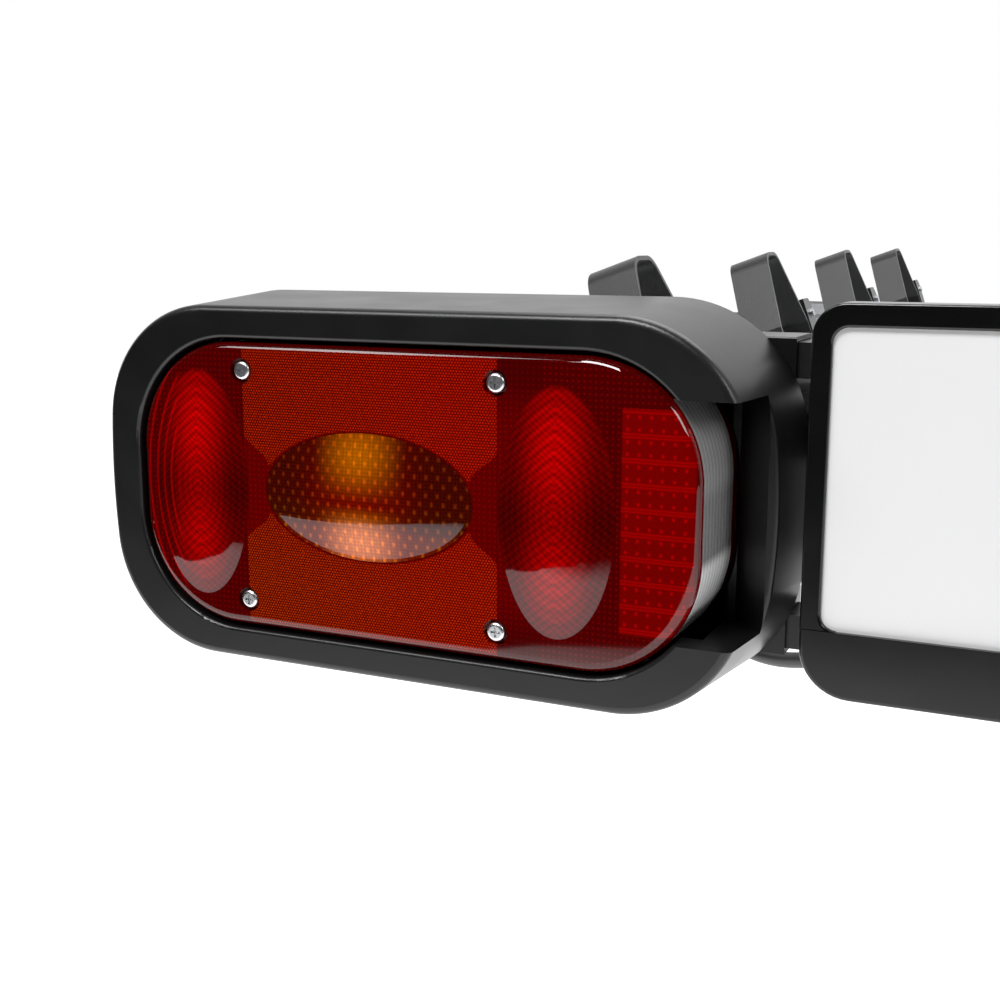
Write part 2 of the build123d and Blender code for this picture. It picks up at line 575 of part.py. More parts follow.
# Lamp bracket: a sleeve round each light bar and a web between them
sleeve_height = BAR_HEIGHT + 2 * SLEEVE_GAP + SLEEVE_WALL + SLEEVE_FLOOR
sleeve_depth = BAR_DEPTH + 2 * SLEEVE_GAP + 2 * SLEEVE_WALL
sleeve_shift = (SLEEVE_FLOOR - SLEEVE_WALL) / 2
with BuildPart() as lamp_bracket:
    for z, shift in ((UPPER_BAR_Z, -sleeve_shift), (LOWER_BAR_Z, sleeve_shift)):
        with BuildSketch(Plane(origin=(-SLEEVE_INNER_X, BAR_Y, z), x_dir=(0, 1, 0), z_dir=(1, 0, 0))):
            with Locations((0, shift)):
                Rectangle(sleeve_depth, sleeve_height)
            Rectangle(BAR_DEPTH + 2 * SLEEVE_GAP, BAR_HEIGHT + 2 * SLEEVE_GAP, mode=Mode.SUBTRACT)
        extrude(amount=-SLEEVE_LENGTH)
    fillet(lamp_bracket.edges().filter_by(Axis.X).group_by(Axis.Z)[-1], SLEEVE_EDGE)
    web_low = LOWER_BAR_Z + sleeve_shift + sleeve_height / 2
    web_high = UPPER_BAR_Z - sleeve_shift - sleeve_height / 2
    box_between((-SLEEVE_INNER_X - SLEEVE_LENGTH, FACE_Y + LAMP_DEPTH, web_low),
                (-SLEEVE_INNER_X, FACE_Y + LAMP_DEPTH + WEB_THICKNESS, web_high))
save_pair(lamp_bracket.part, "lamp_bracket")

# Cable from the lamp base, looping under the lower bar to a socket on the plate bracket
cable_gland_x = -LAMP_X + GLAND_X
cable_gland_z = LAMP_Z + GLAND_Z
cable_socket_x = -BRACKET_X - BRACKET_WIDTH / 2 - SOCKET_LENGTH
cable_socket_y = FACE_Y + SOCKET_DEPTH
cable_socket_z = LOWER_BAR_Z - SOCKET_DROP
cable_start_y = FACE_Y + LAMP_DEPTH + GLAND_LENGTH
CABLE_ROUTE = [
    (cable_gland_x, cable_start_y, cable_gland_z),
    (cable_gland_x, cable_start_y + GLAND_RUN, cable_gland_z),
    *[(cable_gland_x + share * (cable_socket_x - cable_gland_x), FACE_Y + depth, LOWER_BAR_Z + rise)
      for share, depth, rise in CABLE_BENDS],
    (cable_socket_x - SOCKET_RUN, cable_socket_y, cable_socket_z),
    (cable_socket_x, cable_socket_y, cable_socket_z),
]


def route_radii(route):
    """One bend radius for each inner point: 0.45 of its shorter run over tan of half its turn."""
    points = [Vector(*point) for point in route]
    radii = []
    for before, here, after in zip(points, points[1:], points[2:]):
        turn = (here - before).get_angle(after - here)
        shorter = min((here - before).length, (after - here).length)
        radii.append(0.45 * shorter / tan(radians(turn / 2)))
    return radii


cable_radii = route_radii(CABLE_ROUTE)
print("cable route", [tuple(round(value, 2) for value in point) for point in CABLE_ROUTE])
print("cable bend radii", [round(radius, 1) for radius in cable_radii])
with BuildPart() as lamp_cable:
    with BuildLine() as cable_line:
        FilletPolyline(*CABLE_ROUTE, radius=cable_radii)
    with BuildSketch(Plane(origin=CABLE_ROUTE[0], z_dir=cable_line.line % 0)):
        Circle(CABLE_RADIUS)
    sweep()
save_pair(lamp_cable.part, "lamp_cable")
cable_length = sum(edge.length for edge in cable_line.edges())
print("cable length", round(cable_length, 1), "volume", round(lamp_cable.part.volume, 1),
      "section by length", round(pi * CABLE_RADIUS ** 2 * cable_length, 1))

with BuildPart() as cable_gland:
    with BuildSketch(back_plane(LAMP_DEPTH, x=cable_gland_x, z=cable_gland_z)):
        Circle(GLAND_RADIUS)
    extrude(amount=-GLAND_LENGTH)
save_pair(cable_gland.part, "cable_gland")

with BuildPart() as cable_socket:
    with BuildSketch(Plane(origin=(-BRACKET_X - BRACKET_WIDTH / 2, cable_socket_y, cable_socket_z),
                           x_dir=(0, 1, 0), z_dir=(-1, 0, 0))):
        Circle(GLAND_RADIUS)
    extrude(amount=SOCKET_LENGTH)
save_joined(cable_socket.part, "cable_sockets")


# Plate surround: the frame over the plate's top and sides, open below the seam
holder_mid_z = (HOLDER_TOP_Z + HOLDER_BOTTOM_Z) / 2
holder_depth = PLATE_SETBACK - HOLDER_LIP
with BuildPart() as plate_surround:
    with BuildSketch(back_plane(holder_depth, x=0, z=holder_mid_z)):
        RectangleRounded(HOLDER_WIDTH, HOLDER_TOP_Z - HOLDER_BOTTOM_Z, HOLDER_TOP_RADIUS)
    extrude(amount=-HOLDER_DEPTH)
    with BuildSketch(back_plane(holder_depth, x=0, z=PLATE_Z)):
        RectangleRounded(PLATE_WIDTH - 2 * PLATE_OVERLAP, PLATE_HEIGHT - 2 * PLATE_OVERLAP, WINDOW_RADIUS)
    extrude(amount=-HOLDER_DEPTH, mode=Mode.SUBTRACT)
    with BuildSketch(back_plane(PLATE_SETBACK - SMALL_GAP, x=0, z=PLATE_Z)):
        Rectangle(PLATE_WIDTH + 2 * CLEARANCE, PLATE_HEIGHT + 2 * CLEARANCE)
    extrude(amount=-HOLDER_DEPTH, mode=Mode.SUBTRACT)
    split(bisect_by=Plane.XY.offset(WINDOW_LOW_Z), keep=Keep.TOP)
    fillet(plate_surround.faces().sort_by(Axis.Y)[0].edges().group_by(SortBy.LENGTH)[-2:], HOLDER_EDGE)
save(plate_surround.part, "plate_surround")

# Blank number plate
with BuildPart() as number_plate:
    with BuildSketch(back_plane(PLATE_SETBACK, x=0, z=PLATE_Z)):
        RectangleRounded(PLATE_WIDTH, PLATE_HEIGHT, HOLDER_TOP_RADIUS / 2)
    extrude(amount=-PLATE_THICKNESS)
save(number_plate.part, "number_plate")

# Carrier panel behind the plate, with two hinge ears that reach down behind the plate bar
carrier_depth = PLATE_SETBACK + PLATE_THICKNESS + SMALL_GAP
carrier_back = holder_depth + HOLDER_DEPTH
bracket_bolt_points = [(side * BRACKET_X, z) for side in (-1, 1)
                       for z in (PLATE_Z - PLATE_HEIGHT / 4, PLATE_Z + PLATE_HEIGHT / 4)]
with BuildPart() as plate_carrier:
    box_between((-PLATE_WIDTH / 2, FACE_Y + carrier_depth, WINDOW_LOW_Z),
                (PLATE_WIDTH / 2, FACE_Y + carrier_back, PLATE_Z + PLATE_HEIGHT / 2))
    for side in (-1, 1):
        with BuildSketch(Plane(origin=(side * HINGE_X, HINGE_Y, HINGE_Z), x_dir=(0, 1, 0),
                               z_dir=(1, 0, 0))):
            Circle(HINGE_EAR_RADIUS)
            with Locations((0, (WINDOW_LOW_Z - HINGE_Z) / 2)):
                Rectangle(2 * HINGE_EAR_RADIUS, WINDOW_LOW_Z - HINGE_Z)
            Circle(HINGE_PIN_RADIUS + SMALL_GAP, mode=Mode.SUBTRACT)
        extrude(amount=HINGE_EAR_WIDTH / 2, both=True)
    with BuildSketch(back_plane(carrier_depth, x=0, z=0)):
        with Locations(bracket_bolt_points):
            Circle(BOLT_HEAD_RADIUS + CLEARANCE)
    extrude(amount=-BOLT_HEAD_RISE - SMALL_GAP, mode=Mode.SUBTRACT)
    with BuildSketch(back_plane(carrier_depth, x=0, z=0)):
        with Locations(bracket_bolt_points):
            Circle(BOLT_RADIUS + SMALL_GAP)
    extrude(amount=-HOLDER_DEPTH, mode=Mode.SUBTRACT)
save(plate_carrier.part, "plate_carrier")

# Plate bar: the lip under the plate, which folds down on two pins
bar_top_z = WINDOW_LOW_Z - CLEARANCE
pocket_low_z = PLATE_Z - PLATE_HEIGHT / 2 - CLEARANCE
with BuildPart() as plate_bar:
    with BuildSketch(back_plane(holder_depth, x=0, z=(bar_top_z + HOLDER_BOTTOM_Z) / 2)) as bar_face:
        Rectangle(HOLDER_WIDTH, bar_top_z - HOLDER_BOTTOM_Z)
        fillet(bar_face.vertices().group_by(Axis.Y)[0], HOLDER_BOTTOM_RADIUS)
    extrude(amount=-HOLDER_DEPTH)
    fillet(plate_bar.faces().sort_by(Axis.Y)[0].edges().group_by(Axis.Z)[:-1], PLATE_BAR_EDGE)
    with BuildPart(mode=Mode.PRIVATE) as plate_pocket:
        box_between((-HOLDER_WIDTH, FACE_Y + PLATE_SETBACK - SMALL_GAP, pocket_low_z),
                    (HOLDER_WIDTH, FACE_Y + LAMP_DEPTH, WINDOW_LOW_Z))
    add(plate_pocket.part, mode=Mode.SUBTRACT)
    with BuildPart(mode=Mode.PRIVATE) as ear_slots:
        for side in (-1, 1):
            slot_half = HINGE_EAR_WIDTH / 2 + 2 * CLEARANCE
            box_between((side * HINGE_X - slot_half, HOLDER_Y + HOLDER_WALL, HOLDER_BOTTOM_Z - 1),
                        (side * HINGE_X + slot_half, HOLDER_FRONT_Y + 1, WINDOW_LOW_Z))
    add(ear_slots.part, mode=Mode.SUBTRACT)
    with Locations([(side * HINGE_X, HINGE_Y, HINGE_Z) for side in (-1, 1)]):
        Cylinder(HINGE_PIN_RADIUS + RUNNING_FIT, HINGE_PIN_LENGTH + 2 * CLEARANCE,
                 rotation=(0, 90, 0), mode=Mode.SUBTRACT)
save(plate_bar.part, "plate_bar")

with BuildPart() as plate_bar_pins:
    with Locations([(side * HINGE_X, HINGE_Y, HINGE_Z) for side in (-1, 1)]):
        Cylinder(HINGE_PIN_RADIUS, HINGE_PIN_LENGTH, rotation=(0, 90, 0))
save(plate_bar_pins.part, "plate_bar_pins")

# Brackets that carry the holder on the two light bars
bracket_high = UPPER_BAR_Z + BAR_HEIGHT / 2
bracket_low = cable_socket_z - GLAND_RADIUS - 2 * CLEARANCE
with BuildPart() as plate_brackets:
    for side in (-1, 1):
        with BuildSketch(Plane(origin=(side * BRACKET_X, 0, 0), x_dir=(0, 1, 0), z_dir=(1, 0, 0))):
            with BuildLine():
                Polyline(
                    (HOLDER_FRONT_Y, WINDOW_LOW_Z),
                    (HOLDER_FRONT_Y, bracket_high),
                    (BAR_BACK_Y, bracket_high),
                    (BAR_BACK_Y, bracket_low),
                    (cable_socket_y - GLAND_RADIUS - 2 * CLEARANCE, bracket_low),
                    close=True,
                )
            make_face()
        extrude(amount=BRACKET_WIDTH / 2, both=True)
    with BuildSketch(back_plane(carrier_back, x=0, z=0)):
        with Locations(bracket_bolt_points):
            Circle(BOLT_RADIUS + SMALL_GAP)
    extrude(amount=-BAR_DEPTH / 2, mode=Mode.SUBTRACT)
save(plate_brackets.part, "plate_brackets")

with BuildPart() as plate_bolts:
    with BuildSketch(back_plane(carrier_depth + SMALL_GAP, x=0, z=0)):
        with Locations(bracket_bolt_points):
            RegularPolygon(BOLT_HEAD_RADIUS, 6)
    extrude(amount=-BOLT_HEAD_RISE)
    with BuildSketch(back_plane(carrier_depth + BOLT_HEAD_RISE, x=0, z=0)):
        with Locations(bracket_bolt_points):
            Circle(BOLT_RADIUS)
    extrude(amount=-HOLDER_DEPTH)
save(plate_bolts.part, "plate_bolts")


def loop_plane(y):
    """The plane of a strap loop: X along the vehicle, Y up the leaning loop, Z along its width."""
    lean = radians(STRAP_LEAN)
    return Plane(origin=(-STRAP_X, y, TRAY_TOP), x_dir=(0, 1, 0), z_dir=(cos(lean), 0, sin(lean)))


# Wheel straps: closed webbing loops round each tray, arched up over the wheel's rim
with BuildPart() as wheel_straps:
    for y in TRAY_YS:
        with BuildSketch(loop_plane(y)) as strap_loop:
            with BuildLine():
                Polyline(
                    (-STRAP_OUTER, -STRAP_UNDER - STRAP_THICKNESS),
                    (STRAP_OUTER, -STRAP_UNDER - STRAP_THICKNESS),
                    (STRAP_OUTER, STRAP_SHOULDER),
                    (STRAP_PEAK[1], STRAP_RISE),
                    (STRAP_PEAK[0], STRAP_RISE),
                    (-STRAP_OUTER, STRAP_SHOULDER),
                    close=True,
                )
            make_face()
            fillet(strap_loop.vertices().group_by(Axis.Y)[-1], STRAP_TOP_RADIUS)
            fillet(strap_loop.vertices().group_by(Axis.Y)[0], STRAP_FOOT_RADIUS)
            offset(amount=-STRAP_THICKNESS, mode=Mode.SUBTRACT)
        extrude(amount=STRAP_WIDTH / 2, both=True)
save_pair(wheel_straps.part, "wheel_straps")

# Ratchet frames: a back plate on the strap's front leg with two cheeks
ratchet_back = STRAP_OUTER + CLEARANCE
ratchet_pin_at = (ratchet_back + RATCHET_PIN[0], RATCHET_PIN[1])
with BuildPart() as ratchet_frames:
    for y in TRAY_YS:
        with BuildSketch(loop_plane(y)):
            with BuildLine():
                Polyline(
                    (ratchet_back, RATCHET_LOW),
                    (ratchet_back + RATCHET_FOOT, RATCHET_LOW),
                    (ratchet_back + RATCHET_DEPTH, 0),
                    (ratchet_back + RATCHET_DEPTH, RATCHET_HIGH - RATCHET_CHAMFER),
                    (ratchet_back + RATCHET_DEPTH - RATCHET_CHAMFER, RATCHET_HIGH),
                    (ratchet_back, RATCHET_HIGH),
                    close=True,
                )
            make_face()
            with Locations(ratchet_pin_at):
                Circle(RATCHET_PIN_RADIUS + SMALL_GAP, mode=Mode.SUBTRACT)
        extrude(amount=LEVER_WIDTH / 2 + CLEARANCE + RATCHET_CHEEK, both=True)
        with BuildSketch(loop_plane(y)):
            with Locations((ratchet_back + RATCHET_CHEEK + RATCHET_DEPTH / 2, 0)):
                Rectangle(RATCHET_DEPTH, 2 * (RATCHET_HIGH - RATCHET_LOW))
        extrude(amount=LEVER_WIDTH / 2 + CLEARANCE, both=True, mode=Mode.SUBTRACT)
save_joined(ratchet_frames.part, "ratchet_frames")

with BuildPart() as ratchet_pins:
    for y in TRAY_YS:
        with BuildSketch(loop_plane(y)):
            with Locations(ratchet_pin_at):
                Circle(RATCHET_PIN_RADIUS)
        extrude(amount=LEVER_WIDTH / 2 + 2 * RATCHET_CHEEK, both=True)
save_joined(ratchet_pins.part, "ratchet_pins")

# Ratchet levers: a hub on the pin and a handle lying along the frame
for index, y in enumerate(TRAY_YS, start=1):
    with BuildPart() as ratchet_lever:
        with BuildSketch(loop_plane(y)):
            with Locations(ratchet_pin_at):
                Circle(LEVER_HUB_RADIUS)
            with Locations((ratchet_pin_at[0] + LEVER_HUB_RADIUS - LEVER_THICKNESS / 2,
                            (ratchet_pin_at[1] + RATCHET_LOW) / 2)):
                Rectangle(LEVER_THICKNESS, ratchet_pin_at[1] - RATCHET_LOW)
            with Locations(ratchet_pin_at):
                Circle(RATCHET_PIN_RADIUS + RUNNING_FIT, mode=Mode.SUBTRACT)
        extrude(amount=LEVER_WIDTH / 2, both=True)
    save_pair(ratchet_lever.part, f"ratchet_lever_{index}")
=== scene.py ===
import bmesh
import bpy
import json
import math
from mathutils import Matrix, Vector


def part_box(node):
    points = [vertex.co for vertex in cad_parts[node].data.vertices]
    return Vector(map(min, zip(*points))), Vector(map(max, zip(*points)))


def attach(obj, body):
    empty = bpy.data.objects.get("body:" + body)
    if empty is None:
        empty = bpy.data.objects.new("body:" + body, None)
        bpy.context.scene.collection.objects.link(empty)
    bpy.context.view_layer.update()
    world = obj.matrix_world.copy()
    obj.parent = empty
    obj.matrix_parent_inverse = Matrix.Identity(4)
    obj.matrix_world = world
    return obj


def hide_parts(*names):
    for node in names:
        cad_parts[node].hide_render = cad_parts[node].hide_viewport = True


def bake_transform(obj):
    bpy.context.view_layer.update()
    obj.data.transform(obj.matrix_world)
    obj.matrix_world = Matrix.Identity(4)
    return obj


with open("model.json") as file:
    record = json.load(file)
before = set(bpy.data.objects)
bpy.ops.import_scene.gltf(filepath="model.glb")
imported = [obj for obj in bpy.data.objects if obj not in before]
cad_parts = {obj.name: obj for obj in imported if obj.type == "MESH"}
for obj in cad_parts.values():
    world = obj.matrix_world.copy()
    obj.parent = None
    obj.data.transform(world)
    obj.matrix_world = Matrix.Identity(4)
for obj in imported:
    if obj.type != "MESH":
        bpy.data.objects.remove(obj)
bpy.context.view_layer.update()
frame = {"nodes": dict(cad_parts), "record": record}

# Everything is drawn in millimetres and turned to metres by MM.
MM = 0.001
SIDES = (("left", -1.0), ("right", 1.0))

# Places read from the frame: the lens face, the lamp's centre from the lens's own box, and the trays.
lens_low, lens_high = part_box("lamp_lens_left")
FACE_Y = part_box("lens_screws_left")[0].y / MM
LAMP_X = -(lens_low.x + lens_high.x) / 2 / MM
LAMP_Z = (lens_low.z + lens_high.z) / 2 / MM
TRAY_BOXES = [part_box(f"wheel_tray_{i}") for i in range(1, 5)]
TRAY_YS = [(low.y + high.y) / 2 / MM for low, high in TRAY_BOXES]
TRAY_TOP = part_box("wheel_tray_1")[1].z / MM

# ---------------------------------------------------------------- camera

camera = bpy.data.objects.new("camera", bpy.data.cameras.new("camera"))
bpy.context.scene.collection.objects.link(camera)
camera.location = (-0.1663, -1.3028, 0.1023)
camera.rotation_euler = (math.radians(90 - 10.9), 0, math.radians(25.22))
camera.data.lens = 48.34
camera.data.sensor_width = 36
camera.data.clip_start = 0.01
bpy.context.scene.camera = camera
bpy.context.scene.view_settings.view_transform = "Standard"


# ---------------------------------------------------------------- cables

# The left lead's route in millimetres, from its gland to its socket; its diameter in metres
CABLE_POINTS = [(-372.0, -808.0, -55.0), (-372.0, -788.5, -55.0), (-361.29, -766.0, -59.1),
                (-339.88, -753.8, -63.9), (-313.82, -756.1, -67.5), (-290.8, -775.3, -67.1),
                (-264.94, -797.0, -57.0), (-242.92, -812.0, -54.0), (-220.1, -823.0, -51.5),
                (-195.0, -828.0, -49.5), (-170.0, -828.0, -49.5)]
CABLE_DIAMETER = 0.0065


def cable(side, way):
    """The lamp's lead: out of the gland, down behind the lower bar and back to the plate bracket."""
    places = [(-way * x * MM, y * MM, z * MM) for x, y, z in CABLE_POINTS]
    curve = bpy.data.curves.new(f"lead_line_{side}", "CURVE")
    curve.dimensions = "3D"
    curve.resolution_u = 12
    line = curve.splines.new("NURBS")
    line.points.add(len(places) - 1)
    for point, place in zip(line.points, places):
        point.co = (*place, 1.0)
    line.order_u = 3
    line.use_endpoint_u = True
    drawn = bpy.data.objects.new(f"lead_line_{side}", curve)
    centre_line = [tuple(vertex.co) for vertex in bpy.data.meshes.new_from_object(drawn).vertices]
    curve.bevel_depth = CABLE_DIAMETER / 2
    curve.bevel_resolution = 6
    lead = bpy.data.objects.new(f"lamp_lead_{side}", bpy.data.meshes.new_from_object(drawn))
    bpy.data.objects.remove(drawn)
    bpy.context.scene.collection.objects.link(lead)
    lead.data.shade_smooth()
    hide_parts(f"lamp_cable_{side}")
    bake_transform(lead)
    return lead


leads = [cable(side, way) for side, way in SIDES]


def linear(hex_colour):
    """An sRGB hex colour as the linear RGBA that shaders take."""
    values = [int(hex_colour[i:i + 2], 16) / 255 for i in (1, 3, 5)]
    return tuple([v / 12.92 if v <= 0.04045 else ((v + 0.055) / 1.055) ** 2.4 for v in values] + [1.0])


def add_node(tree, kind, wires=None, **settings):
    """Adds one node. Settings are its properties; wires give each input a value or a link."""
    node = tree.nodes.new(kind)
    for name, value in settings.items():
        setattr(node, name, value)
    for socket, value in (wires or {}).items():
        if isinstance(value, bpy.types.NodeSocket):
            tree.links.new(value, node.inputs[socket])
        else:
            node.inputs[socket].default_value = value
    return node


# ---------------------------------------------------------------- floor and light

def studio():
    """White sky behind and dim sky in front; the bright floor and the soft boxes above are made after it."""
    world = bpy.data.worlds.new("studio")
    bpy.context.scene.world = world
    world.use_nodes = True
    tree = world.node_tree
    tree.nodes.clear()
    where = add_node(tree, "ShaderNodeTexCoord")
    axis = add_node(tree, "ShaderNodeSeparateXYZ", {0: where.outputs["Generated"]})
    sky = add_node(tree, "ShaderNodeMapRange", {"Value": axis.outputs["Y"], "From Min": -0.15,
                                                "From Max": 0.35, "To Min": 0.008, "To Max": 1.0},
                   interpolation_type="SMOOTHSTEP")
    light_path = add_node(tree, "ShaderNodeLightPath")
    shown = add_node(tree, "ShaderNodeMath", {0: light_path.outputs["Is Camera Ray"],
                                              1: sky.outputs["Result"]}, operation="MAXIMUM")
    back = add_node(tree, "ShaderNodeBackground", {"Color": (1, 1, 1, 1), "Strength": shown.outputs[0]})
    add_node(tree, "ShaderNodeOutputWorld", {"Surface": back.outputs[0]})


def soft_box(name, place, target, size, power):
    """A square area light aimed at a point."""
    light = bpy.data.lights.new(name, "AREA")
    light.energy = power
    light.size = size
    lamp = bpy.data.objects.new(name, light)
    bpy.context.scene.collection.objects.link(lamp)
    lamp.location = place
    lamp.rotation_mode = "QUATERNION"
    lamp.rotation_quaternion = (Vector(target) - Vector(place)).to_track_quat("-Z", "Y")


# Height of the floor, and the stretch of Y over which its front edge fades
FLOOR_Z = -0.5
FLOOR_DARK_Y = -2.42
FLOOR_LIT_Y = -2.12
FLOOR_OUTLINE = [(-4.4, 0.92), (-0.954, -2.25), (-0.5, FLOOR_DARK_Y), (4, FLOOR_DARK_Y), (4, 5), (-4.4, 5)]


def floor_paper():
    """White paper floor, lit so that it reads as pure white; what it mirrors fades at its front edge."""
    material = bpy.data.materials.new("floor_paper")
    material.use_nodes = True
    tree = material.node_tree
    shader = tree.nodes["Principled BSDF"]
    shader.inputs["Roughness"].default_value = 0.9
    shader.inputs["Emission Color"].default_value = (1, 1, 1, 1)
    where = add_node(tree, "ShaderNodeTexCoord")
    axes = add_node(tree, "ShaderNodeSeparateXYZ", {0: where.outputs["Object"]})
    lit = add_node(tree, "ShaderNodeMapRange", {"Value": axes.outputs["Y"], "From Min": FLOOR_DARK_Y,
                                                "From Max": FLOOR_LIT_Y}, interpolation_type="SMOOTHSTEP")
    light_path = add_node(tree, "ShaderNodeLightPath")
    shown = add_node(tree, "ShaderNodeMath", {0: light_path.outputs["Is Camera Ray"],
                                              1: lit.outputs["Result"]}, operation="MAXIMUM")
    tree.links.new(shown.outputs[0], shader.inputs["Emission Strength"])
    paper = add_node(tree, "ShaderNodeMath", {0: lit.outputs["Result"], 1: 0.5}, operation="MULTIPLY")
    tree.links.new(paper.outputs[0], shader.inputs["Base Color"])
    return material


studio()
soft_box("top_box", (-0.2, -0.1, 1.8), (-0.3, -0.7, 0.0), 1.8, 40)
soft_box("strap_box", (-0.9, -2.7, 2.1), (-0.3, -0.5, 0.0), 0.9, 62)
soft_box("front_box", (-1.7, -2.1, 1.7), (-0.3, -0.88, 0.0), 0.7, 14)
soft_box("right_box", (1.6, -1.8, 1.4), (-0.2, -0.88, 0.0), 0.8, 16)

floor_mesh = bpy.data.meshes.new("floor")
floor_mesh.from_pydata([(x, y, FLOOR_Z) for x, y in FLOOR_OUTLINE], [], [tuple(range(len(FLOOR_OUTLINE)))])
floor = bpy.data.objects.new("floor", floor_mesh)
floor_mesh.materials.append(floor_paper())
bpy.context.scene.collection.objects.link(floor)


# ---------------------------------------------------------------- materials

def new_finish(name, colour, roughness, metallic=0.0, coat=0.0):
    """A material and its shader, with the plain values set on the shader's own sockets."""
    material = bpy.data.materials.new(name)
    material.use_nodes = True
    shader = material.node_tree.nodes["Principled BSDF"]
    shader.inputs["Base Color"].default_value = linear(colour)
    shader.inputs["Roughness"].default_value = roughness
    shader.inputs["Metallic"].default_value = metallic
    shader.inputs["Coat Weight"].default_value = coat
    shader.inputs["Coat Roughness"].default_value = 0.03
    return material, material.node_tree, shader


def grain(tree, shader, size_mm, strength, distance_mm=0.02, stretch=(1, 1, 1)):
    """Fine surface grain as bump: size_mm is the width of one grain."""
    where = add_node(tree, "ShaderNodeTexCoord")
    place = add_node(tree, "ShaderNodeMapping", {"Vector": where.outputs["Object"],
                                                 "Scale": tuple(1 / (size_mm * MM) * s for s in stretch)})
    noise = add_node(tree, "ShaderNodeTexNoise", {"Vector": place.outputs[0], "Scale": 1.0, "Detail": 3.0})
    bump = add_node(tree, "ShaderNodeBump", {"Height": noise.outputs["Fac"], "Strength": strength,
                                             "Distance": distance_mm * MM})
    tree.links.new(bump.outputs[0], shader.inputs["Normal"])


def uneven_roughness(tree, shader, low, high, size_mm):
    """Handling marks: roughness that drifts a little over patches of size_mm."""
    where = add_node(tree, "ShaderNodeTexCoord")
    noise = add_node(tree, "ShaderNodeTexNoise", {"Vector": where.outputs["Object"],
                                                  "Scale": 1 / (size_mm * MM), "Detail": 2.0})
    span = add_node(tree, "ShaderNodeMapRange", {"Value": noise.outputs["Fac"], "From Min": 0.3,
                                                 "From Max": 0.7, "To Min": low, "To Max": high})
    tree.links.new(span.outputs["Result"], shader.inputs["Roughness"])


def abs_moulded():
    """ABS from a spark-eroded mould: black, satin, with a grain under half a millimetre."""
    material, tree, shader = new_finish("abs_moulded", "#0e0e0f", 0.33)
    grain(tree, shader, 0.45, 0.10)
    uneven_roughness(tree, shader, 0.30, 0.36, 25)
    return material


def abs_polished():
    """ABS from a polished mould: black and glossy, with faint sink marks."""
    material, tree, shader = new_finish("abs_polished", "#090909", 0.20)
    grain(tree, shader, 9.0, 0.05)
    uneven_roughness(tree, shader, 0.17, 0.23, 30)
    return material


def powder_coat():
    """Black powder coat on steel: satin with orange peel about a millimetre and a half across."""
    material, tree, shader = new_finish("powder_coat", "#1c1c1d", 0.38)
    grain(tree, shader, 1.5, 0.15, 0.03)
    uneven_roughness(tree, shader, 0.28, 0.36, 40)
    return material


def anodised_aluminium():
    """Extruded and anodised aluminium: pale, with drawn lines along the tray."""
    material, tree, shader = new_finish("anodised_aluminium", "#c9cacc", 0.34, metallic=1.0)
    grain(tree, shader, 0.5, 0.12, 0.02, stretch=(0.02, 1, 1))
    uneven_roughness(tree, shader, 0.30, 0.42, 60)
    return material


def zinc_plate():
    """Bright zinc plate on small fixings: cool grey with a faint mottle."""
    material, tree, shader = new_finish("zinc_plate", "#b4b6ba", 0.28, metallic=1.0)
    grain(tree, shader, 0.6, 0.08)
    return material


def chrome_plate():
    """Chrome plate on the lens screws: bright metal, dulled by weather, with faint polishing marks."""
    material, tree, shader = new_finish("chrome_plate", "#dddee0", 0.30, metallic=1.0)
    grain(tree, shader, 0.3, 0.05)
    return material


def reflector_metal():
    """Vacuum-metallised plastic behind the lens: a soft mirror."""
    material, tree, shader = new_finish("reflector_metal", "#d5d6d8", 0.16, metallic=1.0)
    grain(tree, shader, 2.0, 0.2, 0.1)
    return material


def reflective_sheet():
    """Plate faced with retro-reflective sheet: white, with glass beads too fine to see singly."""
    material, tree, shader = new_finish("reflective_sheet", "#dcdcdd", 0.42, coat=0.3)
    grain(tree, shader, 0.5, 0.05)
    return material


def bulb_glass():
    """Blown glass bulb over its plated base."""
    material, tree, shader = new_finish("bulb_glass", "#e8c9a0", 0.05)
    shader.inputs["Transmission Weight"].default_value = 0.6
    grain(tree, shader, 3.0, 0.05)
    return material


def cable_jacket():
    """Soft PVC jacket: near black, satin, with faint drawing lines."""
    material, tree, shader = new_finish("cable_jacket", "#0e0e0f", 0.42)
    grain(tree, shader, 0.8, 0.12, 0.03)
    return material


# ---------------------------------------------------------------- lens optics

